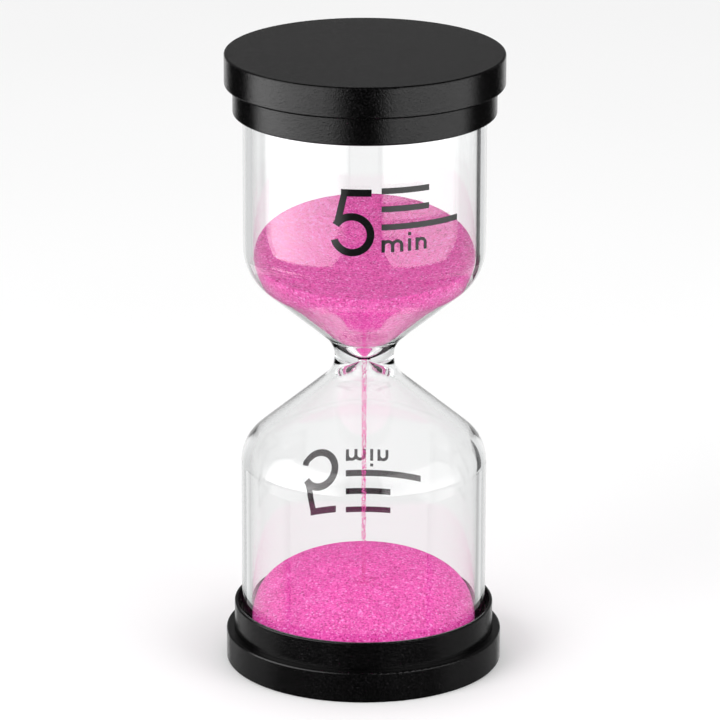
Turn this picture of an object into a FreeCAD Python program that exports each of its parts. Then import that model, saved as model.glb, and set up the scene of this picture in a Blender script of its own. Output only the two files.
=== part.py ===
import FreeCAD, Part
import os
import re

import Sketcher

# Five-minute sand timer: a blown-glass vessel between two black two-piece plastic caps.
# Millimetres, +Z up, origin at the centre of the face that it stands on.

DIMENSIONS = {
    # whole timer
    "total_height": 95.4,
    # end cap: the wide disc that the timer stands on
    "disc_radius": 21.0,
    "disc_height": 4.8,
    "disc_face": 1.6,
    "disc_round": 0.3,
    "seat_clearance": 0.05,
    # collar cup: glued into the disc, holds the end of the glass
    "cup_radius": 19.75,
    "cup_height": 7.5,
    "cup_floor": 1.0,
    "cup_bore": 18.95,
    "cup_round": 0.2,
    "lead_in_width": 0.35,
    "lead_in_depth": 1.8,
    # foam pad and adhesive between cup and glass
    "pad_radius": 17.6,
    "pad_thickness": 1.0,
    "pad_hole": 6.8,
    "pad_round": 0.25,
    "bead_clearance": 0.04,
    "bead_height": 2.6,
    "bead_round": 0.1,
    # glass vessel
    "upper_radius": 18.24,
    "lower_radius": 18.6,
    "glass_wall": 1.4,
    "upper_cone_wall": 0.7,
    "lower_cone_wall": 1.3,
    "glass_end": 1.2,
    "glass_heel": 1.1,
    "inner_heel": 0.8,
    "neck_plane": 48.15,
    "cone_angle": 40.0,
    "neck_radius": 4.48,
    "neck_round": 4.27,
    "orifice_radius": 0.65,
    "orifice_land": 0.3,
    "knee_radius": 4.5,
    "knee_round": 3.0,
    "upper_shoulder": 8.1,
    "upper_bend": 8.0,
    "lower_shoulder": 5.9,
    "lower_bend": 5.4,
    # filling hole and what closes it
    "fill_radius": 4.0,
    "plug_tip": 3.7,
    "plug_reach": 3.2,
    "plug_head": 5.2,
    "plug_lip": 0.7,
    "plug_clearance": 0.02,
    "sealant_radius": 6.4,
    "sealant_thickness": 0.6,
    # sand
    "sand_gap": 0.12,
    "bank_height": 65.5,
    "bank_slope": 11.4,
    "bank_dish": 96.0,
    "bank_sag": 1.5,
    "mound_top": 12.88,
    "mound_curve": 48.0,
    "mound_offset": 10.2,
    "stream_top": 0.45,
    "stream_end": 0.38,
    "stream_margin": 0.1,
    # printed film
    "film_gap": 0.03,
    "film_thickness": 0.06,
    "numeral_base": 69.15,
    "numeral_height": 10.2,
    "numeral_radius": 3.3,
    "numeral_stroke": 1.12,
    "numeral_bar": 1.08,
    "bar_start": -1.62,
    "bar_length": 4.5,
    "upright_foot": -2.65,
    "upright_rise": 1.7,
    "upright_width": 1.0,
    "upright_length": 4.85,
    "upright_lean": 12.8,
    "bowl_start": -162.0,
    "bowl_sweep": 312.0,
    "numeral_azimuth": -5.9,
    "mark_base": 69.7,
    "mark_width": 12.6,
    "mark_short": 7.3,
    "mark_azimuth": 27.9,
    "line_height": 0.9,
    "line_pitch": 2.75,
    "first_line": 3.4,
    "letter_height": 1.9,
    "letter_stroke": 0.48,
    "letter_step": 1.35,
    "letter_space": 1.2,
    "lower_print_turn": 17.3,
}

doc = FreeCAD.newDocument("SandTimer")
sheet = doc.addObject("Spreadsheet::Sheet", "Dimensions")
for row, (alias, value) in enumerate(DIMENSIONS.items(), start=1):
    sheet.set(f"A{row}", alias)
    sheet.set(f"B{row}", str(value))
    sheet.setAlias(f"B{row}", alias)
doc.recompute()

ORIGIN = FreeCAD.Vector(0, 0, 0)
X_AXIS = FreeCAD.Vector(1, 0, 0)
Y_AXIS = FreeCAD.Vector(0, 1, 0)
Z_AXIS = FreeCAD.Vector(0, 0, 1)
ORIGIN_POINT = (-1, 1)
HORIZONTAL_AXIS = -1
VERTICAL_AXIS = -2
MATCH = 1e-4

# Heights and radii that follow from the driving dimensions, as spreadsheet formulas.
GLASS_BOTTOM = "(disc_face + cup_floor + pad_thickness)"
GLASS_TOP = f"(total_height - {GLASS_BOTTOM})"
THROAT_RADIUS = "(neck_radius - neck_round * (1 / sin(cone_angle) - 1))"
SHOULDER_RISE = "tan(cone_angle)"
PRINT_DEPTH = "(lower_radius / 2)"
BLOCK_FRONT = "(-1.1 * lower_radius)"
ARC_FRONT = "(-0.6 * lower_radius)"
MOUND_AT_AXIS = "(mound_top - mound_curve + sqrt(mound_curve^2 - mound_offset^2))"


probe = doc.addObject("App::FeaturePython", "FormulaProbe")
probe.addProperty("App::PropertyFloat", "Result")


def reference(match):
    """An alias as a reference to the spreadsheet. Other words, such as tan, stay as they are."""
    word = match[0]
    return f"Dimensions.{word}" if word in DIMENSIONS else word


def bound(formula):
    """The formula with each alias written as a reference to the spreadsheet."""
    return re.sub(r"[a-z_]{3,}", reference, str(formula))


def number(formula):
    """What the formula comes to now."""
    probe.setExpression("Result", bound(formula))
    probe.recompute()
    return probe.Result


def bind(obj, **formulas):
    """Binds properties of obj to formulas. A double underscore stands for a dot."""
    for prop, formula in formulas.items():
        obj.setExpression(prop.replace("__", "."), bound(formula))
    return obj


def vertex(sketch, line, r, z):
    """Fixes the first point of a sketch line at radius r and height z."""
    for kind, formula, axis in (("DistanceX", r, VERTICAL_AXIS), ("DistanceY", z, HORIZONTAL_AXIS)):
        if formula == "0":
            sketch.addConstraint(Sketcher.Constraint("PointOnObject", line, 1, axis))
            continue
        index = sketch.addConstraint(Sketcher.Constraint(kind, *ORIGIN_POINT, line, 1, number(formula)))
        sketch.setExpression(f"Constraints[{index}]", bound(formula))


def circle_edges(shape, r, z):
    """Names of the circular edges round the Z axis with radius r at height z."""
    names = []
    for index, edge in enumerate(shape.Edges, start=1):
        curve = edge.Curve
        if not isinstance(curve, Part.Circle):
            continue
        if abs(curve.Radius - r) < MATCH and abs(curve.Center.z - z) < MATCH:
            names.append(f"Edge{index}")
    return names


def turned(name, outline, rounds=()):
    """A body turned about Z from an outline of (radius, height) corners, then rounded at some of them.
    Each round is (radius of the round, corner's radius, corner's height)."""
    body = doc.addObject("PartDesign::Body", name)
    body.Label = name
    plane = next(f for f in body.Origin.OriginFeatures if f.Role == "XZ_Plane")
    sketch = body.newObject("Sketcher::SketchObject", f"{name}_outline")
    sketch.AttachmentSupport = (plane, [""])
    sketch.MapMode = "FlatFace"
    points = [FreeCAD.Vector(number(r), number(z), 0) for r, z in outline]
    count = len(points)
    for i in range(count):
        sketch.addGeometry(Part.LineSegment(points[i], points[(i + 1) % count]), False)
    for i in range(count):
        sketch.addConstraint(Sketcher.Constraint("Coincident", i, 2, (i + 1) % count, 1))
    for i, (r, z) in enumerate(outline):
        vertex(sketch, i, r, z)
    feature = body.newObject("PartDesign::Revolution", f"{name}_turned")
    feature.Profile = sketch
    feature.ReferenceAxis = (sketch, ["V_Axis"])
    feature.Angle = 360
    body.Tip = feature
    doc.recompute()
    for i, (size, r, z) in enumerate(rounds):
        names = circle_edges(feature.Shape, number(r), number(z))
        if not names:
            raise RuntimeError(f"{name}: no edge of radius {number(r):.3f} at height {number(z):.3f}")
        fillet = body.newObject("PartDesign::Fillet", f"{name}_round_{i}")
        fillet.Base = (feature, names)
        bind(fillet, Radius=size)
        body.Tip = fillet
        doc.recompute()
        feature = fillet
    return body


def at_top(body):
    """Turns a body made for the bottom end upside down onto the top end."""
    top = FreeCAD.Vector(0, 0, number("total_height"))
    body.Placement = FreeCAD.Placement(top, FreeCAD.Rotation(X_AXIS, 180))
    return bind(body, Placement__Base__z="total_height")


def end_cap(name):
    recess = "cup_radius + seat_clearance"
    return turned(
        name,
        [
            ("0", "0"),
            ("disc_radius", "0"),
            ("disc_radius", "disc_height"),
            (recess, "disc_height"),
            (recess, "disc_face"),
            ("0", "disc_face"),
        ],
        [
            ("disc_round", "disc_radius", "0"),
            ("disc_round", "disc_radius", "disc_height"),
        ],
    )


def collar_cup(name):
    rim = "disc_face + cup_height"
    return turned(
        name,
        [
            ("0", "disc_face"),
            ("cup_radius", "disc_face"),
            ("cup_radius", rim),
            ("cup_bore + lead_in_width", rim),
            ("cup_bore", f"{rim} - lead_in_depth"),
            ("cup_bore", "disc_face + cup_floor"),
            ("0", "disc_face + cup_floor"),
        ],
        [("cup_round", "cup_radius", rim)],
    )


def foam_pad(name, hole):
    low = "disc_face + cup_floor"
    return turned(
        name,
        [
            (hole, low),
            ("pad_radius", low),
            ("pad_radius", GLASS_BOTTOM),
            (hole, GLASS_BOTTOM),
        ],
        [("pad_round", "pad_radius", low)],
    )


def glue_bead(name, glass_radius):
    low = f"{GLASS_BOTTOM} + glass_heel"
    high = f"{low} + bead_height"
    inner = f"{glass_radius} + bead_clearance"
    outer = "cup_bore - bead_clearance"
    return turned(
        name,
        [(inner, low), (outer, low), (outer, high), (inner, high)],
        [("bead_round", outer, high)],
    )


def cone_inside(r, end):
    """Height of the cone's inner wall at radius r, in the upper (end +) or lower (end -) bulb."""
    wall = "upper_cone_wall" if end == "+" else "lower_cone_wall"
    return f"neck_plane {end} (({r} - {THROAT_RADIUS}) * {SHOULDER_RISE} + {wall} / cos(cone_angle))"


def glass_vessel():
    """Thick at the neck, thinner in the cones, thick again in the straight walls, closed below.
    The upper end has the filling hole."""
    rise = f"* {SHOULDER_RISE}"
    upper_inner = "upper_radius - glass_wall"
    lower_inner = "lower_radius - glass_wall"
    upper_corner = f"neck_plane + (upper_radius - {THROAT_RADIUS}) {rise}"
    lower_corner = f"neck_plane - (lower_radius - {THROAT_RADIUS}) {rise}"
    upper_inner_corner = cone_inside(f"({upper_inner})", "+")
    lower_inner_corner = cone_inside(f"({lower_inner})", "-")
    upper_knee = cone_inside("knee_radius", "+")
    floor = f"{GLASS_BOTTOM} + glass_end"
    ceiling = f"{GLASS_TOP} - glass_end"
    return turned(
        "glass_vessel",
        [
            ("0", GLASS_BOTTOM),
            ("lower_radius", GLASS_BOTTOM),
            ("lower_radius", lower_corner),
            (THROAT_RADIUS, "neck_plane"),
            ("upper_radius", upper_corner),
            ("upper_radius", GLASS_TOP),
            ("fill_radius", GLASS_TOP),
            ("fill_radius", ceiling),
            (upper_inner, ceiling),
            (upper_inner, upper_inner_corner),
            ("knee_radius", upper_knee),
            ("orifice_radius", "neck_plane + orifice_land"),
            ("orifice_radius", "neck_plane - orifice_land"),
            (lower_inner, lower_inner_corner),
            (lower_inner, floor),
            ("0", floor),
        ],
        [
            ("neck_round", THROAT_RADIUS, "neck_plane"),
            ("upper_shoulder", "upper_radius", upper_corner),
            ("lower_shoulder", "lower_radius", lower_corner),
            ("upper_bend", upper_inner, upper_inner_corner),
            ("lower_bend", lower_inner, lower_inner_corner),
            ("knee_round", "knee_radius", upper_knee),
            ("glass_heel", "lower_radius", GLASS_BOTTOM),
            ("glass_heel", "upper_radius", GLASS_TOP),
            ("inner_heel", lower_inner, floor),
            ("inner_heel", upper_inner, ceiling),
        ],
    )


def fill_plug():
    """Soft stopper: a tapered stem in the filling hole and a flat head on the glass."""
    stem = "fill_radius - plug_clearance"
    tip = f"{GLASS_TOP} - plug_reach"
    return turned(
        "fill_plug",
        [
            ("0", tip),
            ("plug_tip", tip),
            (stem, f"{GLASS_TOP} - glass_end"),
            (stem, GLASS_TOP),
            ("plug_head", GLASS_TOP),
            ("plug_head", f"{GLASS_TOP} + plug_lip"),
            ("0", f"{GLASS_TOP} + plug_lip"),
        ],
    )


def plug_sealant():
    """Ring of sealant round the stopper's head."""
    inner = "plug_head + plug_clearance"
    return turned(
        "plug_sealant",
        [
            (inner, GLASS_TOP),
            ("sealant_radius", GLASS_TOP),
            (inner, f"{GLASS_TOP} + sealant_thickness"),
        ],
    )


def sphere(name, radius, y, z):
    ball = doc.addObject("Part::Sphere", name)
    return bind(ball, Radius=radius, Placement__Base__y=y, Placement__Base__z=z)


def boolean(kind, name, base, tool):
    result = doc.addObject(kind, name)
    result.Label = name
    result.Base = base
    result.Tool = tool
    return result


def upper_sand():
    """Sand left in the funnel: banked towards the back and dished where it runs out."""
    side = "upper_radius - glass_wall - sand_gap"
    tip = "orifice_radius - sand_gap"
    start = "neck_plane + orifice_land"
    knee = "(knee_radius - sand_gap)"
    knee_height = cone_inside("knee_radius", "+")
    corner = cone_inside(f"({side} + sand_gap)", "+")
    brim = "bank_height + upper_radius * tan(bank_slope) + 1"
    funnel = turned(
        "upper_sand_funnel",
        [
            ("0", "neck_plane"),
            (tip, "neck_plane"),
            (tip, start),
            (knee, knee_height),
            (side, corner),
            (side, brim),
            ("0", brim),
        ],
        [
            ("upper_bend - sand_gap", side, corner),
            ("knee_round", knee, knee_height),
        ],
    )
    lift = "(bank_dish - bank_sag)"
    dish = sphere(
        "upper_sand_dish",
        "bank_dish",
        f"-{lift} * sin(bank_slope)",
        f"bank_height + {lift} * cos(bank_slope)",
    )
    return boolean("Part::Cut", "upper_sand", funnel, dish)


def lower_sand():
    """Sand that has run through: a low mound that leans against the back wall."""
    side = "lower_radius - glass_wall - sand_gap"
    floor = f"{GLASS_BOTTOM} + glass_end + sand_gap"
    column = turned(
        "lower_sand_column",
        [("0", floor), (side, floor), (side, "mound_top + 1"), ("0", "mound_top + 1")],
        [("inner_heel", side, floor)],
    )
    crown = sphere("lower_sand_crown", "mound_curve", "mound_offset", "mound_top - mound_curve")
    return boolean("Part::Common", "lower_sand", column, crown)


def falling_sand():
    """The thin stream between the orifice and the mound."""
    end = f"{MOUND_AT_AXIS} + stream_margin"
    return turned(
        "falling_sand",
        [("0", end), ("stream_end", end), ("stream_top", "neck_plane"), ("0", "neck_plane")],
    )


def block(name, x, z, width, height):
    """A flat-ended stroke of a printed mark, as a prism along Y in front of the axis."""
    box = doc.addObject("Part::Box", name)
    return bind(
        box,
        Length=width,
        Width=PRINT_DEPTH,
        Height=height,
        Placement__Base__x=x,
        Placement__Base__y=BLOCK_FRONT,
        Placement__Base__z=z,
    )


def arc_stroke(name, x, z, radius, stroke, start, sweep):
    """A round stroke of a printed mark: part of a ring in the XZ plane, as a prism along Y."""
    rings = []
    for part, size in (("outside", radius), ("inside", f"{radius} - {stroke}")):
        ring = doc.addObject("Part::Cylinder", f"{name}_{part}")
        turn = FreeCAD.Rotation(X_AXIS, 90).multiply(FreeCAD.Rotation(Z_AXIS, start))
        ring.Placement = FreeCAD.Placement(ORIGIN, turn)
        bind(
            ring,
            Radius=size,
            Height=PRINT_DEPTH,
            Placement__Base__x=x,
            Placement__Base__y=ARC_FRONT,
            Placement__Base__z=z,
        )
        rings.append(ring)
    rings[0].Angle = sweep
    return boolean("Part::Cut", name, *rings)


def printed(name, strokes, glass_radius, azimuth, turn=None):
    """Wraps strokes onto the glass as a thin film, at an azimuth from the front.
    With a turn, the film goes to the back of the lower bulb, upside down."""
    art = doc.addObject("Part::MultiFuse", f"{name}_strokes")
    art.Shapes = strokes
    skins = []
    for part, size in (
        ("outside", f"{glass_radius} + film_gap + film_thickness"),
        ("inside", f"{glass_radius} + film_gap"),
    ):
        skin = doc.addObject("Part::Cylinder", f"{name}_{part}")
        skins.append(bind(skin, Radius=size, Height="total_height"))
    film = boolean("Part::Cut", f"{name}_skin", *skins)
    result = boolean("Part::Common", name, art, film)
    aimed = FreeCAD.Placement(ORIGIN, FreeCAD.Rotation(Z_AXIS, number(azimuth)))
    if turn is not None:
        base = FreeCAD.Vector(0, 0, 2 * number("neck_plane"))
        flipped = FreeCAD.Placement(base, FreeCAD.Rotation(X_AXIS, 180))
        turned_back = FreeCAD.Placement(ORIGIN, FreeCAD.Rotation(Z_AXIS, number(turn)))
        aimed = turned_back.multiply(flipped).multiply(aimed)
    result.Placement = aimed
    return result


def numeral_strokes(prefix):
    """The numeral 5: a bar, a leaning upright and an open bowl."""
    upright = block(
        f"{prefix}_upright",
        "upright_foot",
        "numeral_base + numeral_radius + upright_rise",
        "upright_width",
        "upright_length",
    )
    upright.Placement.Rotation = FreeCAD.Rotation(Y_AXIS, number("upright_lean"))
    bind(upright, Placement__Rotation__Angle="upright_lean")
    bar = block(
        f"{prefix}_bar",
        "bar_start",
        "numeral_base + numeral_height - numeral_bar",
        "bar_length",
        "numeral_bar",
    )
    bowl = arc_stroke(
        f"{prefix}_bowl",
        "0",
        "numeral_base + numeral_radius",
        "numeral_radius",
        "numeral_stroke",
        number("bowl_start"),
        number("bowl_sweep"),
    )
    return [bar, upright, bowl]


def letter(prefix, x, arches):
    """An m or n: an upright, then an arch with its own upright for each of the arches."""
    reach = "(letter_step + letter_stroke) / 2"
    strokes = [block(f"{prefix}_first", x, "mark_base", "letter_stroke", "letter_height")]
    for i in range(arches):
        name = f"{prefix}_{i}"
        spring = f"mark_base + letter_height - {reach}"
        strokes.append(
            arc_stroke(
                f"{name}_arch",
                f"{x} + {i} * letter_step + {reach}",
                spring,
                reach,
                "letter_stroke",
                0,
                180,
            )
        )
        strokes.append(
            block(
                f"{name}_leg",
                f"{x} + {i + 1} * letter_step",
                "mark_base",
                "letter_stroke",
                f"letter_height - {reach}",
            )
        )
    return strokes


def mark_strokes(prefix):
    """Three plain lines above the unit, min."""
    left = "-mark_width / 2"
    strokes = []
    for i, length in enumerate(("mark_width", "mark_short", "mark_short")):
        height = f"mark_base + first_line + {i} * line_pitch"
        strokes.append(block(f"{prefix}_line_{i}", left, height, length, "line_height"))
    middle = f"{left} + 2 * letter_step + letter_space"
    last = f"{middle} + letter_space"
    dot = "mark_base + letter_height + letter_stroke"
    strokes += letter(f"{prefix}_m", left, 2)
    strokes.append(block(f"{prefix}_i", middle, "mark_base", "letter_stroke", "letter_height"))
    strokes.append(block(f"{prefix}_dot", middle, dot, "letter_stroke", "letter_stroke"))
    strokes += letter(f"{prefix}_n", last, 1)
    return strokes


SUB_PARTS = [
    end_cap("bottom_end_cap"),
    collar_cup("bottom_collar_cup"),
    foam_pad("bottom_foam_pad", "0"),
    glue_bead("bottom_glue_bead", "lower_radius"),
    at_top(end_cap("top_end_cap")),
    at_top(collar_cup("top_collar_cup")),
    at_top(foam_pad("top_foam_pad", "pad_hole")),
    at_top(glue_bead("top_glue_bead", "upper_radius")),
    glass_vessel(),
    fill_plug(),
    plug_sealant(),
    upper_sand(),
    falling_sand(),
    lower_sand(),
    printed("upper_numeral", numeral_strokes("upper_five"), "upper_radius", "numeral_azimuth"),
    printed("upper_minute_mark", mark_strokes("upper_mark"), "upper_radius", "mark_azimuth"),
    printed(
        "lower_numeral",
        numeral_strokes("lower_five"),
        "lower_radius",
        "numeral_azimuth",
        "lower_print_turn",
    ),
    printed(
        "lower_minute_mark",
        mark_strokes("lower_mark"),
        "lower_radius",
        "mark_azimuth",
        "lower_print_turn",
    ),
]
doc.recompute()

for obj in doc.Objects:
    if {"Invalid", "Error"} & set(obj.State):
        raise RuntimeError(f"{obj.Label} failed: {obj.State}")
for obj in SUB_PARTS:
    if obj.Shape.isNull() or not obj.Shape.isValid():
        raise RuntimeError(f"{obj.Label} has no valid shape")

os.makedirs("parts", exist_ok=True)
for obj in SUB_PARTS:
    obj.Shape.exportStep(f"parts/{obj.Label}.step")
    print(f"{obj.Label}: {len(obj.Shape.Solids)} solids, {obj.Shape.Volume:.2f} mm3")
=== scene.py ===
import itertools
import math
import random

import bpy
from mathutils import Euler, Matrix, Quaternion, Vector, noise


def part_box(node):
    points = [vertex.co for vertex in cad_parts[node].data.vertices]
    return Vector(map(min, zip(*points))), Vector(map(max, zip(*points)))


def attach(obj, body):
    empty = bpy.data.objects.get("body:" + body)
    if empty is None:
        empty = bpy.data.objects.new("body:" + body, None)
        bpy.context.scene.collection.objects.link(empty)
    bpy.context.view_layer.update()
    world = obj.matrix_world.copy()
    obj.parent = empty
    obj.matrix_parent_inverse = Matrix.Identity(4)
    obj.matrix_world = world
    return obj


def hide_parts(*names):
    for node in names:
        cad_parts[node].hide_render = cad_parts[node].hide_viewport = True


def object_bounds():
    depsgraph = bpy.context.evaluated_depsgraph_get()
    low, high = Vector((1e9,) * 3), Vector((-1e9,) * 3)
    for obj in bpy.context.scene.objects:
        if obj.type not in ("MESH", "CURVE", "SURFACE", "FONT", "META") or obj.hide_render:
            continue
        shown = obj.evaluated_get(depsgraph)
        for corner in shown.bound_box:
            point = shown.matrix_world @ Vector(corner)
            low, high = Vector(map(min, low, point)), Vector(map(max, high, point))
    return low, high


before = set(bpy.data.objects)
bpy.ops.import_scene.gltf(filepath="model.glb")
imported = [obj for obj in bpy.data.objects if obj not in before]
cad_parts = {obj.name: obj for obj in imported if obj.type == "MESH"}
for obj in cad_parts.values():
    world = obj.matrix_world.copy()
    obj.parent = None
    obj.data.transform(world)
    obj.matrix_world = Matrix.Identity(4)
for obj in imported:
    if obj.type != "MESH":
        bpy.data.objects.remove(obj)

# A five-minute sand timer. Metres, in the frame of the CAD model: +Z up, the viewer at -Y.

MM = 0.001
CAD_LOW, CAD_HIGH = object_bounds()
HEIGHT = CAD_HIGH.z
GLASS_LOW, GLASS_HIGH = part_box("glass_vessel")

# Glass
LOWER_RADIUS = GLASS_HIGH.x
UPPER_RADIUS = 18.24 * MM
WALL = 1.4 * MM
UPPER_CONE_WALL = 0.7 * MM
LOWER_CONE_WALL = 1.3 * MM
END_WALL = 1.2 * MM
NECK_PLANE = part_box("upper_sand")[0].z
CONE_ANGLE = math.radians(40)
CONE_RISE = math.tan(CONE_ANGLE)
NECK_RADIUS = 4.48 * MM
NECK_ROUND = 4.27 * MM
THROAT = NECK_RADIUS - NECK_ROUND * (1 / math.sin(CONE_ANGLE) - 1)
ORIFICE = 0.65 * MM
LAND = 0.3 * MM
KNEE_RADIUS = 4.5 * MM
KNEE_ROUND = 3.0 * MM
UPPER_SHOULDER = 8.1 * MM
UPPER_BEND = 8.0 * MM
LOWER_SHOULDER = 5.9 * MM
LOWER_BEND = 5.4 * MM
OUTER_HEEL = 1.1 * MM
INNER_HEEL = 0.8 * MM
FILL_RADIUS = 4.0 * MM

# Sand
SAND_GAP = 0.12 * MM
BANK_HEIGHT = 65.5 * MM
BANK_SLOPE = math.radians(11.4)
BANK_DISH = 96.0 * MM
BANK_SAG = 1.5 * MM
MOUND_CURVE = 48.0 * MM
MOUND_OFFSET = 10.2 * MM
MOUND_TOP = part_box("lower_sand")[1].z
CRATER_DEPTH = 0.35 * MM
CRATER_RADIUS = 0.9 * MM
CRATER_RIM = 0.12 * MM
RIM_RADIUS = 1.8 * MM
GRAIN = 0.1 * MM

# The stream: how evenly the grains spread down it (1 is even), how far they gather at its edge
# (0 is wholly), how much it draws in on the way down, and their size and length against GRAIN
FALLING_GRAINS = 2100
FALL_SPREAD = 0.94
EDGE_SPREAD = 0.35
DRAWING_IN = 0.15
GRAIN_SIZES = (0.4, 0.68)
GRAIN_LENGTHS = (0.8, 1.3)

# Unevenness of the sand: depth against the glass, height of fine and of slow bumps, their sizes
WALL_DENT = 0.05 * MM
FINE_BUMP = 0.09 * MM
SLOW_BUMP = 0.05 * MM
FINE_SIZE = 0.45 * MM
SLOW_SIZE = 1.7 * MM

# Foam pads
PAD_HOLE = 6.8 * MM
PAD_EDGE = 0.2 * MM
PAD_WAIST = 0.12 * MM
PAD_DENT = 0.05 * MM
PAD_DENT_SIZE = 1.3 * MM

# Steps round the axis, the longest step along an outline and round a corner of it, the halvings
# that find where the sand meets the wall, and the radius that counts as none
AROUND = 288
SAND_AROUND = 320
GLASS_STEP = 2.0 * MM
FINE_STEP = 0.5 * MM
CORNER_STEP = math.radians(4)
HALVINGS = 24
NO_RADIUS = 1e-7

# Studio: distance of the softboxes, heights between which they fade to a share of their strength,
# and brightness of the room and of what is seen through the glass
SOFTBOX = 0.5
SOFTBOX_FADE = (-0.02, 0.15)
TOP_SHARE = 0.6
ROOM_GLOW = 0.165
ROOM_LIGHT = 0.83
THROUGH_GLASS = 1.0
FLAG_GREY = 0.8


# ---------------------------------------------------------------- shapes

def rounded(corners):
    """Points along an open outline of (radius, height, rounding) corners."""
    points = []
    for i, (r, z, size) in enumerate(corners):
        here = Vector((r, z))
        if not size:
            points.append(here)
            continue
        before = (Vector(corners[i - 1][:2]) - here).normalized()
        after = (Vector(corners[i + 1][:2]) - here).normalized()
        half = before.angle(after) / 2
        centre = here + (before + after).normalized() * (size / math.sin(half))
        reach = size / math.tan(half)
        start = here + before * reach - centre
        end = here + after * reach - centre
        first = math.atan2(start.y, start.x)
        sweep = (math.atan2(end.y, end.x) - first + math.pi) % (2 * math.pi) - math.pi
        count = max(2, math.ceil(abs(sweep) / CORNER_STEP))
        for k in range(count + 1):
            angle = first + sweep * k / count
            points.append(centre + size * Vector((math.cos(angle), math.sin(angle))))
    return points


def divided(points, length):
    """The same outline with no stretch longer than length."""
    result = [points[0]]
    for a, b in zip(points, points[1:]):
        count = max(1, math.ceil((b - a).length / length))
        result += [a.lerp(b, k / count) for k in range(1, count + 1)]
    return result


def new_piece(name, vertices, faces, smooth=True):
    mesh = bpy.data.meshes.new(name)
    mesh.from_pydata(vertices, [], faces)
    mesh.validate()
    mesh.polygons.foreach_set("use_smooth", [smooth] * len(mesh.polygons))
    mesh.update()
    piece = bpy.data.objects.new(name, mesh)
    bpy.context.scene.collection.objects.link(piece)
    return piece


def rings_to_mesh(rings, closed=False):
    """Vertices and faces from rings of points. A ring of one point is a pole."""
    vertices, starts = [], []
    for ring in rings:
        starts.append(len(vertices))
        vertices += ring
    faces = []
    pairs = list(zip(range(len(rings)), range(1, len(rings))))
    if closed:
        pairs.append((len(rings) - 1, 0))
    for a, b in pairs:
        size_a, size_b = len(rings[a]), len(rings[b])
        count = max(size_a, size_b)
        for k in range(count):
            after = (k + 1) % count
            corner = [starts[a] + k % size_a, starts[a] + after % size_a]
            corner += [starts[b] + after % size_b, starts[b] + k % size_b]
            faces.append([v for i, v in enumerate(corner) if v not in corner[:i]])
    return vertices, faces


def lathe(name, profile, closed=False, ripple=None):
    """A piece turned about Z. ripple(point, r) gives a small change of radius."""
    rings = []
    for r, z in profile:
        if r < NO_RADIUS:
            rings.append([(0, 0, z)])
            continue
        ring = []
        for k in range(AROUND):
            angle = 2 * math.pi * k / AROUND
            out = Vector((math.cos(angle), math.sin(angle), 0))
            radius = r + (ripple(out * r + Vector((0, 0, z)), r) if ripple else 0)
            ring.append((out.x * radius, out.y * radius, z))
        rings.append(ring)
    return new_piece(name, *rings_to_mesh(rings, closed))


# ---------------------------------------------------------------- materials

def material(name):
    mat = bpy.data.materials.new(name)
    mat.use_nodes = True
    mat.node_tree.nodes.clear()
    return mat


def add(mat, kind, links=None, **settings):
    """A node with inputs set by name or linked, and settings with a leading underscore as properties."""
    node = mat.node_tree.nodes.new(kind)
    for key, value in settings.items():
        if key.startswith("_"):
            setattr(node, key[1:], value)
        else:
            node.inputs[key.replace("_", " ")].default_value = value
    for key, source in (links or {}).items():
        mat.node_tree.links.new(source, node.inputs[key])
    return node


def ramp(mat, source, stops):
    node = add(mat, "ShaderNodeValToRGB", {"Fac": source})
    elements = node.color_ramp.elements
    while len(elements) < len(stops):
        elements.new(0.5)
    for element, (position, colour) in zip(elements, stops):
        element.position = position
        element.color = (*colour, 1)
    return node.outputs["Color"]


def spread(mat, source, low, high, start=0.0, end=1.0):
    """source from start..end to low..high."""
    node = add(mat, "ShaderNodeMapRange", {"Value": source})
    for key, value in (("From Min", start), ("From Max", end), ("To Min", low), ("To Max", high)):
        node.inputs[key].default_value = value
    return node.outputs["Result"]


def finish_surface(mat, shader, volume=None):
    links = {"Surface": shader}
    if volume:
        links["Volume"] = volume
    add(mat, "ShaderNodeOutputMaterial", links)
    return mat


def place(mat):
    return add(mat, "ShaderNodeTexCoord").outputs["Object"]


def cap_plastic():
    """Black ABS with the fine grain of a textured mould. Its base colour is lighter on the raised grain:
    painted glints of the texture, over the plastic's own faint uneven tone.
    """
    mat = material("cap_plastic")
    here = place(mat)
    grain = add(mat, "ShaderNodeTexNoise", {"Vector": here}, Scale=3800.0, Detail=2.0)
    cloud = add(mat, "ShaderNodeTexNoise", {"Vector": here}, Scale=160.0, Detail=4.0)
    pits = add(mat, "ShaderNodeTexVoronoi", {"Vector": here}, Scale=5200.0)
    # Base colour rises with the grain's height: painted glints on the raised texture, partly the
    # plastic's own uneven tone.
    colour = ramp(
        mat,
        grain.outputs["Fac"],
        ((0.4, (0.0004, 0.0004, 0.0004)), (0.6, (0.003, 0.0028, 0.003)), (0.75, (0.012, 0.011, 0.012))),
    )
    rough = spread(mat, cloud.outputs["Fac"], 0.15, 0.19, 0.3, 0.7)
    fine = add(mat, "ShaderNodeBump", {"Height": grain.outputs["Fac"]}, Strength=0.8, Distance=0.032 * MM)
    pitted = add(
        mat,
        "ShaderNodeBump",
        {"Height": pits.outputs["Distance"], "Normal": fine.outputs["Normal"]},
        Strength=0.4,
        Distance=0.025 * MM,
    )
    shader = add(
        mat,
        "ShaderNodeBsdfPrincipled",
        {"Base Color": colour, "Roughness": rough, "Normal": pitted.outputs["Normal"]},
        IOR=1.5,
        Specular_IOR_Level=0.33,
    )
    return finish_surface(mat, shader.outputs["BSDF"])


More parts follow.
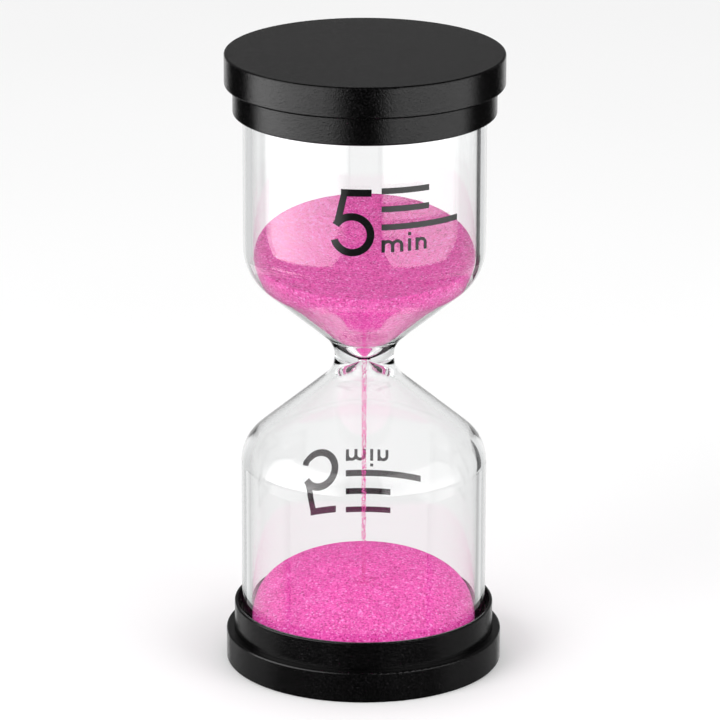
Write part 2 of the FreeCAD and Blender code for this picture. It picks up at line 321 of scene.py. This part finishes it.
def clear_glass():
    """Soda-lime glass with faint unevenness. Lamps and soft light reach the sand straight through it."""
    mat = material("clear_glass")
    here = place(mat)
    wave = add(mat, "ShaderNodeTexNoise", {"Vector": here}, Scale=120.0, Detail=2.0)
    smear = add(mat, "ShaderNodeTexNoise", {"Vector": here}, Scale=60.0, Detail=5.0)
    bump = add(mat, "ShaderNodeBump", {"Height": wave.outputs["Fac"]}, Strength=0.012, Distance=0.2 * MM)
    rough = spread(mat, smear.outputs["Fac"], 0.0, 0.012, 0.45, 0.8)
    shader = add(
        mat,
        "ShaderNodeBsdfPrincipled",
        {"Roughness": rough, "Normal": bump.outputs["Normal"]},
        Base_Color=(1, 1, 1, 1),
        Transmission_Weight=1.0,
        IOR=1.5,
    )
    clear = add(mat, "ShaderNodeBsdfTransparent", Color=(0.985, 0.985, 0.985, 1))
    ray = add(mat, "ShaderNodeLightPath")
    through = add(mat, "ShaderNodeMath", _operation="MAXIMUM")
    mat.node_tree.links.new(ray.outputs["Is Shadow Ray"], through.inputs[0])
    mat.node_tree.links.new(ray.outputs["Is Diffuse Ray"], through.inputs[1])
    parts = {0: through.outputs[0], 1: shader.outputs[0], 2: clear.outputs[0]}
    mix = add(mat, "ShaderNodeMixShader", parts)
    tint = add(mat, "ShaderNodeVolumeAbsorption", Color=(0.55, 0.6, 0.6, 1), Density=45.0)
    return finish_surface(mat, mix.outputs[0], tint.outputs["Volume"])


def pink_sand():
    """Dyed quartz sand: grains of slightly different pinks, a few pale or dark."""
    mat = material("pink_sand")
    here = place(mat)
    cells = add(mat, "ShaderNodeTexVoronoi", {"Vector": here}, Scale=1 / (0.22 * MM), Randomness=1.0)
    cloud = add(mat, "ShaderNodeTexNoise", {"Vector": here}, Scale=350.0, Detail=3.0)
    split = add(mat, "ShaderNodeSeparateColor", {"Color": cells.outputs["Color"]})
    body = ramp(
        mat,
        split.outputs[0],
        (
            (0.0, (0.54, 0.028, 0.22)),
            (0.2, (0.80, 0.066, 0.39)),
            (0.6, (0.91, 0.094, 0.475)),
            (0.88, (0.96, 0.160, 0.58)),
            (1.0, (0.98, 0.36, 0.76)),
        ),
    )
    shade = spread(mat, cloud.outputs["Fac"], 0.93, 1.05, 0.3, 0.7)
    colour = add(mat, "ShaderNodeVectorMath", {0: body}, _operation="SCALE")
    mat.node_tree.links.new(shade, colour.inputs["Scale"])
    rough = spread(mat, split.outputs[1], 0.55, 0.9)
    height = {"Height": cells.outputs["Distance"]}
    bump = add(mat, "ShaderNodeBump", height, Strength=0.6, Distance=0.1 * MM)
    bump.invert = True
    shader = add(
        mat,
        "ShaderNodeBsdfPrincipled",
        {"Base Color": colour.outputs[0], "Roughness": rough, "Normal": bump.outputs["Normal"]},
        IOR=1.45,
        Specular_IOR_Level=0.12,
    )
    return finish_surface(mat, shader.outputs["BSDF"])


def black_ink():
    """Screen-printed gloss ink with the faint mesh of the screen."""
    mat = material("black_ink")
    here = place(mat)
    speck = add(mat, "ShaderNodeTexNoise", {"Vector": here}, Scale=5200.0, Detail=2.0)
    stops = ((0.35, (0.003, 0.003, 0.003)), (0.8, (0.012, 0.012, 0.013)))
    colour = ramp(mat, speck.outputs["Fac"], stops)
    rough = spread(mat, speck.outputs["Fac"], 0.08, 0.22, 0.3, 0.8)
    bump = add(mat, "ShaderNodeBump", {"Height": speck.outputs["Fac"]}, Strength=0.08, Distance=0.02 * MM)
    shader = add(
        mat,
        "ShaderNodeBsdfPrincipled",
        {"Base Color": colour, "Roughness": rough, "Normal": bump.outputs["Normal"]},
        IOR=1.5,
    )
    return finish_surface(mat, shader.outputs["BSDF"])


def cushion_foam():
    mat = material("cushion_foam")
    here = place(mat)
    cells = add(mat, "ShaderNodeTexVoronoi", {"Vector": here}, Scale=3200.0)
    # Darker at the middle of each cell, where the bump sinks: painted shade in the pores, over the foam's
    # own pale grey.
    colour = ramp(mat, cells.outputs["Distance"], ((0.0, (0.42, 0.42, 0.40)), (0.6, (0.74, 0.74, 0.71))))
    height = {"Height": cells.outputs["Distance"]}
    bump = add(mat, "ShaderNodeBump", height, Strength=0.7, Distance=0.1 * MM)
    shader = add(
        mat,
        "ShaderNodeBsdfPrincipled",
        {"Base Color": colour, "Normal": bump.outputs["Normal"]},
        Roughness=0.9,
    )
    return finish_surface(mat, shader.outputs["BSDF"])


def soft_plastic(name, pale, dark, rough, scale):
    """A milky soft material with slow colour change and fine unevenness, for the stopper, and for the
    glue, whose near-black colours are painted shade of the gap it fills.
    """
    mat = material(name)
    here = place(mat)
    cloud = add(mat, "ShaderNodeTexNoise", {"Vector": here}, Scale=scale, Detail=4.0)
    colour = ramp(mat, cloud.outputs["Fac"], ((0.3, dark), (0.7, pale)))
    bump = add(mat, "ShaderNodeBump", {"Height": cloud.outputs["Fac"]}, Strength=0.3, Distance=0.1 * MM)
    shader = add(
        mat,
        "ShaderNodeBsdfPrincipled",
        {"Base Color": colour, "Normal": bump.outputs["Normal"]},
        Roughness=rough,
    )
    return finish_surface(mat, shader.outputs["BSDF"])


def paper_white():
    """The pale floor."""
    mat = material("pale_floor")
    here = place(mat)
    cloud = add(mat, "ShaderNodeTexNoise", {"Vector": here}, Scale=6.0, Detail=2.0)
    colour = ramp(mat, cloud.outputs["Fac"], ((0.3, (0.94, 0.94, 0.94)), (0.7, (0.955, 0.955, 0.955))))
    shader = add(mat, "ShaderNodeBsdfPrincipled", {"Base Color": colour}, Roughness=0.9)
    return finish_surface(mat, shader.outputs["BSDF"])


# ---------------------------------------------------------------- glass

def cone_inside(r, side):
    """Height of a cone's inner wall at radius r: side 1 for the upper bulb, -1 for the lower."""
    wall = UPPER_CONE_WALL if side > 0 else LOWER_CONE_WALL
    return NECK_PLANE + side * ((r - THROAT) * CONE_RISE + wall / math.cos(CONE_ANGLE))


def glass_outlines():
    """The outer and inner outlines of the vessel, each from the lower end to the upper."""
    upper_inner = UPPER_RADIUS - WALL
    lower_inner = LOWER_RADIUS - WALL
    outer = [
        (0, GLASS_LOW.z, 0),
        (LOWER_RADIUS, GLASS_LOW.z, OUTER_HEEL),
        (LOWER_RADIUS, NECK_PLANE - (LOWER_RADIUS - THROAT) * CONE_RISE, LOWER_SHOULDER),
        (THROAT, NECK_PLANE, NECK_ROUND),
        (UPPER_RADIUS, NECK_PLANE + (UPPER_RADIUS - THROAT) * CONE_RISE, UPPER_SHOULDER),
        (UPPER_RADIUS, GLASS_HIGH.z, OUTER_HEEL),
        (FILL_RADIUS, GLASS_HIGH.z, 0),
    ]
    floor = GLASS_LOW.z + END_WALL
    ceiling = GLASS_HIGH.z - END_WALL
    inner = [
        (0, floor, 0),
        (lower_inner, floor, INNER_HEEL),
        (lower_inner, cone_inside(lower_inner, -1), LOWER_BEND),
        (ORIFICE, NECK_PLANE - LAND, 0),
        (ORIFICE, NECK_PLANE + LAND, 0),
        (KNEE_RADIUS, cone_inside(KNEE_RADIUS, 1), KNEE_ROUND),
        (upper_inner, cone_inside(upper_inner, 1), UPPER_BEND),
        (upper_inner, ceiling, INNER_HEEL),
        (FILL_RADIUS, ceiling, 0),
    ]
    return rounded(outer), rounded(inner)


def glass_vessel(mat):
    outer, inner = glass_outlines()
    profile = divided(outer, GLASS_STEP) + divided(inner, GLASS_STEP)[::-1]
    piece = lathe("glass", profile)
    piece.data.materials.append(mat)
    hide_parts("glass_vessel")
    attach(piece, "root")


# ---------------------------------------------------------------- sand

def inset(points, gap):
    """An outline moved inwards by gap, towards the axis and the bulb's middle."""
    moved = []
    for i, point in enumerate(points):
        before = points[max(i - 1, 0)]
        after = points[min(i + 1, len(points) - 1)]
        forwards = (after - before).normalized()
        moved.append(point + gap * Vector((-forwards.y, forwards.x)))
    return moved


def along(points, share):
    """The point at that share of an outline's length."""
    lengths = [(b - a).length for a, b in zip(points, points[1:])]
    left = share * sum(lengths)
    for (a, b), length in zip(zip(points, points[1:]), lengths):
        if left <= length:
            return a.lerp(b, left / length)
        left -= length
    return points[-1].copy()


def bank_surface(x, y):
    """Height of the upper sand's surface: a shallow dish on a slope."""
    lift = BANK_DISH - BANK_SAG
    cy = -lift * math.sin(BANK_SLOPE)
    cz = BANK_HEIGHT + lift * math.cos(BANK_SLOPE)
    return cz - math.sqrt(BANK_DISH**2 - x * x - (y - cy) ** 2)


def mound_surface(x, y):
    """Height of the lower sand's surface: part of a large ball, with a small crater under the stream."""
    r = math.hypot(x, y)
    ball = MOUND_TOP - MOUND_CURVE + math.sqrt(MOUND_CURVE**2 - x * x - (y - MOUND_OFFSET) ** 2)
    crater = CRATER_DEPTH * math.exp(-((r / CRATER_RADIUS) ** 2))
    rim = CRATER_RIM * math.exp(-(((r - RIM_RADIUS) / MM) ** 2))
    return ball - crater + rim


def rough_grain(point, size=FINE_SIZE):
    return noise.noise(point / size)


def wall_share(wall, surface, dx, dy):
    """How far along the wall's outline the surface meets it, in the direction (dx, dy)."""
    low, high = 0.0, 1.0
    for _ in range(HALVINGS):
        middle = (low + high) / 2
        r, z = along(wall, middle)
        if z < surface(r * dx, r * dy):
            low = middle
        else:
            high = middle
    return low


def wall_ring(wall, columns, share_up):
    """One ring of points on the sand's side, dented where grains leave gaps at the glass."""
    ring = []
    for dx, dy, share in columns:
        r, z = along(wall, share * share_up)
        point = Vector((r * dx, r * dy, z))
        dent = WALL_DENT * (0.5 + 0.5 * rough_grain(point)) * min(1, r / MM)
        ring.append(point - dent * Vector((dx, dy, 0)))
    return ring


def surface_ring(rim, surface, inwards):
    """One ring of points on the sand's top, that share of the way from the rim to the axis."""
    ring = []
    for point in rim:
        x, y = point.x * (1 - inwards), point.y * (1 - inwards)
        spot = Vector((x, y, surface(x, y)))
        spot.z += FINE_BUMP * rough_grain(spot) + SLOW_BUMP * rough_grain(spot, SLOW_SIZE)
        ring.append(spot)
    return ring


def sand_heap(name, wall, surface, node, mat, rows, rings):
    """Sand inside a wall outline, up to a surface. The outline runs from the axis upwards."""
    columns = []
    for k in range(SAND_AROUND):
        angle = 2 * math.pi * k / SAND_AROUND
        dx, dy = math.cos(angle), math.sin(angle)
        columns.append((dx, dy, wall_share(wall, surface, dx, dy)))
    side = [wall_ring(wall, columns, row / rows) for row in range(1, rows + 1)]
    top = [surface_ring(side[-1], surface, k / rings) for k in range(1, rings)]
    foot = [Vector((0, 0, wall[0].y))]
    crown = [Vector((0, 0, surface(0, 0)))]
    piece = new_piece(name, *rings_to_mesh([foot] + side + top + [crown]))
    piece.data.materials.append(mat)
    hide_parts(node)
    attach(piece, "root")


def sand_pieces(mat):
    inner = glass_outlines()[1]
    neck = next(i for i, point in enumerate(inner) if point.y > NECK_PLANE)
    upper_wall = [Vector((0, NECK_PLANE)), Vector((ORIFICE - SAND_GAP, NECK_PLANE))]
    upper_wall += divided(inset(inner[neck:-1], SAND_GAP), FINE_STEP)
    lower_wall = divided(inset(inner[: neck - 1], SAND_GAP), FINE_STEP)
    lower_wall[0].x = 0
    sand_heap("sand_in_upper_bulb", upper_wall, bank_surface, "upper_sand", mat, rows=90, rings=70)
    sand_heap("sand_in_lower_bulb", lower_wall, mound_surface, "lower_sand", mat, rows=60, rings=80)


def icosahedron():
    """Corners and faces of an icosahedron of radius 1."""
    golden = (1 + 5**0.5) / 2
    corners = []
    for y, sign in itertools.product((-1, 1), repeat=2):
        z = sign * golden
        corners += [Vector((0, y, z)), Vector((y, z, 0)), Vector((z, 0, y))]
    corners = [corner.normalized() for corner in corners]
    longest_side = 1.1
    faces = []
    for i, j, k in itertools.combinations(range(12), 3):
        a, b, c = corners[i], corners[j], corners[k]
        if max((a - b).length, (b - c).length, (a - c).length) < longest_side:
            outwards = (b - a).cross(c - a).dot(a) > 0
            faces.append((i, j, k) if outwards else (i, k, j))
    return corners, faces


def falling_grains(mat):
    """The stream as separate grains, packed at the orifice and thinner as they speed up."""
    rng = random.Random(5)
    low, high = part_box("falling_sand")
    corners, faces = icosahedron()
    vertices, all_faces = [], []
    for _ in range(FALLING_GRAINS):
        drop = rng.random() ** FALL_SPREAD
        z = high.z - GRAIN - drop * (high.z - low.z - 2 * GRAIN)
        size = GRAIN * rng.uniform(*GRAIN_SIZES)
        reach = (high.x - size) * rng.random() ** EDGE_SPREAD * (1 - DRAWING_IN * drop)
        angle = rng.uniform(0, 2 * math.pi)
        centre = Vector((reach * math.cos(angle), reach * math.sin(angle), z))
        start = len(vertices)
        stretch = rng.uniform(*GRAIN_LENGTHS)
        vertices += [centre + Vector((v.x * size, v.y * size, v.z * size * stretch)) for v in corners]
        all_faces += [[start + i for i in face] for face in faces]
    piece = new_piece("falling_grains", vertices, all_faces)
    piece.data.materials.append(mat)
    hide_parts("falling_sand")
    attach(piece, "root")


# ---------------------------------------------------------------- pads

def foam_pad(node, mat):
    """A foam disc or ring with a rounded cut edge and small dents."""
    low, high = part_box(node)
    middle = (low.z + high.z) / 2
    half = (high.z - low.z) / 2
    outer = high.x
    hole = PAD_HOLE if node.startswith("top") else 0
    corners = [(hole, low.z, 0), (outer, low.z, PAD_EDGE), (outer - PAD_WAIST, middle, 0)]
    corners += [(outer, high.z, PAD_EDGE), (hole, high.z, 0)]
    profile = divided(rounded(corners), FINE_STEP)

    def dents(point, r):
        if r <= hole + half:
            return 0
        return -PAD_DENT * abs(noise.noise(point / PAD_DENT_SIZE))

    piece = lathe(f"{node}_foam", profile, closed=bool(hole), ripple=dents)
    piece.data.materials.append(mat)
    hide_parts(node)
    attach(piece, "root")


# ---------------------------------------------------------------- studio

def stage_plane(name, centre, normal, width, height, mat):
    """A flat panel facing along normal, upright unless it is level."""
    facing = Vector(normal).to_track_quat("Z", "Y")
    points = []
    for x, y in ((-1, -1), (1, -1), (1, 1), (-1, 1)):
        points.append(Vector(centre) + facing @ Vector((x * width / 2, y * height / 2, 0)))
    panel = new_piece(name, points, [[0, 1, 2, 3]], smooth=False)
    panel.data.materials.append(mat)
    return panel


def glow_material(name, strengths):
    """Emission given as (azimuth, strength) pairs, weaker towards the top. Only mirrored rays see it."""
    mat = material(name)
    first, last = strengths[0][0], strengths[-1][0]
    peak = max(strength for _, strength in strengths)
    split = add(mat, "ShaderNodeSeparateXYZ", {"Vector": place(mat)})
    front = spread(mat, split.outputs["Y"], 1.0, -1.0, -1.0, 1.0)
    azimuth = add(mat, "ShaderNodeMath", {0: split.outputs["X"], 1: front}, _operation="ARCTAN2")
    share = spread(mat, azimuth.outputs[0], 0.0, 1.0, math.radians(first), math.radians(last))
    stops = []
    for stop, strength in strengths:
        stops.append(((stop - first) / (last - first), (strength / peak,) * 3))
    power = spread(mat, split.outputs["Z"], peak, TOP_SHARE * peak, *SOFTBOX_FADE)
    glow = add(mat, "ShaderNodeEmission", {"Color": ramp(mat, share, stops), "Strength": power})
    clear = add(mat, "ShaderNodeBsdfTransparent")
    ray = add(mat, "ShaderNodeLightPath")
    mirrored = add(mat, "ShaderNodeMath", {0: ray.outputs["Glossy Depth"]}, _operation="GREATER_THAN")
    parts = {0: mirrored.outputs[0], 1: clear.outputs[0], 2: glow.outputs[0]}
    shader = add(mat, "ShaderNodeMixShader", parts)
    return finish_surface(mat, shader.outputs[0])


def glow_arc(name, lowest, heights, corner, strengths):
    """A softbox or flag: a curved panel round the timer, from the first azimuth in strengths to the
    last. Its lower edge rises by corner from the lowest azimuth to both ends."""
    first, last = strengths[0][0], strengths[-1][0]
    bottom, top = heights
    count = 96
    squareness = 2.5
    lower, upper = [], []
    for k in range(count + 1):
        azimuth = first + (last - first) * k / count
        end = last if azimuth > lowest else first
        share = min(1, (azimuth - lowest) / (end - lowest))
        lift = corner * (1 - (1 - share**squareness) ** (1 / squareness))
        turn = math.radians(azimuth)
        x, y = SOFTBOX * math.sin(turn), -SOFTBOX * math.cos(turn)
        lower.append((x, y, bottom + lift))
        upper.append((x, y, top))
    faces = [[k, k + 1, count + 2 + k, count + 1 + k] for k in range(count)]
    arc = new_piece(name, lower + upper, faces)
    arc.data.materials.append(glow_material(f"{name}_glow", strengths))
    arc.visible_camera = False
    arc.visible_diffuse = False
    arc.visible_shadow = False
    return arc


def area_light(name, azimuth, elevation, distance, size, power):
    target = Vector((0, 0, HEIGHT / 2))
    a, e = math.radians(azimuth), math.radians(elevation)
    out = Vector((math.sin(a) * math.cos(e), -math.cos(a) * math.cos(e), math.sin(e)))
    data = bpy.data.lights.new(name, "AREA")
    data.shape = "SQUARE"
    data.size = size
    data.energy = power
    lamp = bpy.data.objects.new(name, data)
    lamp.location = target + out * distance
    lamp.rotation_mode = "QUATERNION"
    lamp.rotation_quaternion = out.to_track_quat("Z", "Y")
    lamp.visible_glossy = False
    lamp.visible_transmission = False
    bpy.context.scene.collection.objects.link(lamp)


def world_node(tree, kind, links=None, **values):
    """A node of the world's tree with its inputs linked or set by name or number."""
    node = tree.nodes.new(kind)
    for key, value in values.items():
        setattr(node, key, value)
    for key, source in (links or {}).items():
        if isinstance(source, bpy.types.NodeSocket):
            tree.links.new(source, node.inputs[key])
        else:
            node.inputs[key].default_value = source
    return node


def smooth_step(tree, source, start, end, low, high):
    links = {"Value": source, "From Min": start, "From Max": end, "To Min": low, "To Max": high}
    node = world_node(tree, "ShaderNodeMapRange", links, interpolation_type="SMOOTHSTEP")
    return node.outputs["Result"]


def blend(tree, factor, low, high):
    """low where factor is 0, high where it is 1."""
    node = world_node(tree, "ShaderNodeMix", {"Factor": factor, "A": low, "B": high}, data_type="FLOAT")
    return node.outputs["Result"]


def surroundings():
    """White card behind the timer with a grey flag on either side of it, in an otherwise dim room."""
    world = bpy.data.worlds.new("studio")
    world.use_nodes = True
    tree = world.node_tree
    tree.nodes.clear()
    way = world_node(tree, "ShaderNodeTexCoord").outputs["Generated"]
    split = world_node(tree, "ShaderNodeSeparateXYZ", {"Vector": way})
    back, up = split.outputs["Y"], split.outputs["Z"]
    ray = world_node(tree, "ShaderNodeLightPath")

    # What reflections see: a bright card behind and below, a dim room above
    card = smooth_step(tree, back, 0.80, 0.93, 0.02, 0.85)
    room = smooth_step(tree, back, 0.2, 0.9, 0.02, ROOM_GLOW)
    gloss = blend(tree, smooth_step(tree, up, -0.08, 0.12, 0.0, 1.0), card, room)

    # What is seen through the glass: white straight behind, grey flags beside it, white beyond them
    flag_in = smooth_step(tree, back, 0.74, 0.93, FLAG_GREY, THROUGH_GLASS)
    flag_out = smooth_step(tree, back, 0.5, 0.68, THROUGH_GLASS, FLAG_GREY)
    inner = smooth_step(tree, back, 0.70, 0.72, 0.0, 1.0)
    through = blend(tree, inner, flag_out, flag_in)

    # A refracted ray counts as glossy too, so the transmission test comes last
    soft = blend(tree, ray.outputs["Is Diffuse Ray"], 1.0, ROOM_LIGHT)
    soft = blend(tree, ray.outputs["Is Glossy Ray"], soft, gloss)
    level = blend(tree, ray.outputs["Is Transmission Ray"], soft, through)
    background = world_node(tree, "ShaderNodeBackground", {"Strength": level})
    background.inputs["Color"].default_value = (1, 1, 1, 1)
    world_node(tree, "ShaderNodeOutputWorld", {"Surface": background.outputs[0]})
    bpy.context.scene.world = world


def studio():
    surroundings()
    floor = stage_plane("pale_floor", (0, 0, 0), (0, 0, 1), 8.0, 8.0, paper_white())
    floor.visible_glossy = False
    floor.visible_transmission = False

    # Azimuth in degrees, 0 to the viewer's side and 90 to the right, and strength there
    left = ((-108, 0.0), (-101, 3.4), (-80, 4.4), (-28, 2.6), (-14, 0.0))
    right = ((15, 0.0), (19, 2.3), (60, 2.6), (95, 2.0), (100, 0.0))
    low = ((-108, 0.0), (-98, 1.3), (-50, 0.5), (0, 0.2), (50, 0.5), (92, 1.3), (102, 0.0))
    glow_arc("left_softbox", -70, (-0.0805, 0.55), 0.015, left)
    glow_arc("right_softbox", 50, (-0.080, 0.55), 0.013, right)
    glow_arc("low_softbox", 0, (-0.138, -0.122), 0.004, low)
    glow_arc("left_strip", -105, (-0.19, -0.13), 0.0, ((-145, 0.7), (-84, 0.7), (-76, 0.0)))
    glow_arc("right_strip", 105, (-0.19, -0.13), 0.0, ((64, 0.0), (71, 0.5), (145, 0.5)))
    flag = glow_arc("dark_flag", 142, (-0.112, 0.05), 0.0, ((136, 0.08), (146, 0.08), (148, 0.6)))
    flag.visible_glossy = False
    area_light("key_light", azimuth=-50, elevation=35, distance=0.9, size=0.5, power=3.3)
    area_light("fill_light", azimuth=55, elevation=25, distance=0.9, size=0.5, power=2.5)


def camera():
    """A long lens, 18 degrees above the horizon, in front of the timer."""
    elevation = math.radians(17.769)
    distance = 800.58 * MM
    roll = math.radians(0.143)
    target = Vector((-0.636 * MM, 0, 47.361 * MM))
    back = Vector((0, -math.cos(elevation), math.sin(elevation)))
    data = bpy.data.cameras.new("camera")
    data.sensor_width = 36.0
    data.lens = 264.79
    data.clip_start = 0.01
    data.clip_end = 50.0
    eye = bpy.data.objects.new("camera", data)
    eye.location = target + back * distance
    tilt = Euler((math.pi / 2 - elevation, 0, 0)).to_quaternion()
    eye.rotation_mode = "QUATERNION"
    eye.rotation_quaternion = tilt @ Quaternion((0, 0, 1), roll)
    bpy.context.scene.collection.objects.link(eye)
    bpy.context.scene.camera = eye


def paint_node(node, mat):
    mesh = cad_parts[node].data
    mesh.materials.clear()
    mesh.materials.append(mat)


plastic = cap_plastic()
sand = pink_sand()
ink = black_ink()
# The glue itself is clear; its near-black colours are painted shade of the dark gap between glass and
# collar where the bead sits.
glue_painted_shade = soft_plastic("clear_glue", (0.030, 0.029, 0.027), (0.014, 0.014, 0.013), 0.45, 500.0)
rubber = soft_plastic("stopper_rubber", (0.70, 0.70, 0.68), (0.60, 0.60, 0.58), 0.55, 900.0)
foam = cushion_foam()
for end in ("top", "bottom"):
    paint_node(f"{end}_end_cap", plastic)
    paint_node(f"{end}_collar_cup", plastic)
    paint_node(f"{end}_glue_bead", glue_painted_shade)
    foam_pad(f"{end}_foam_pad", foam)
for bulb in ("upper", "lower"):
    paint_node(f"{bulb}_numeral", ink)
    paint_node(f"{bulb}_minute_mark", ink)
paint_node("fill_plug", rubber)
# The plug sealant takes the glue's near-black colours, which are painted shade.
paint_node("plug_sealant", glue_painted_shade)
glass_vessel(clear_glass())
sand_pieces(sand)
falling_grains(sand)
studio()
camera()

scene = bpy.context.scene
scene.view_settings.view_transform = "Standard"
scene.cycles.max_bounces = 24
scene.cycles.transmission_bounces = 24
scene.cycles.glossy_bounces = 8
scene.cycles.transparent_max_bounces = 24
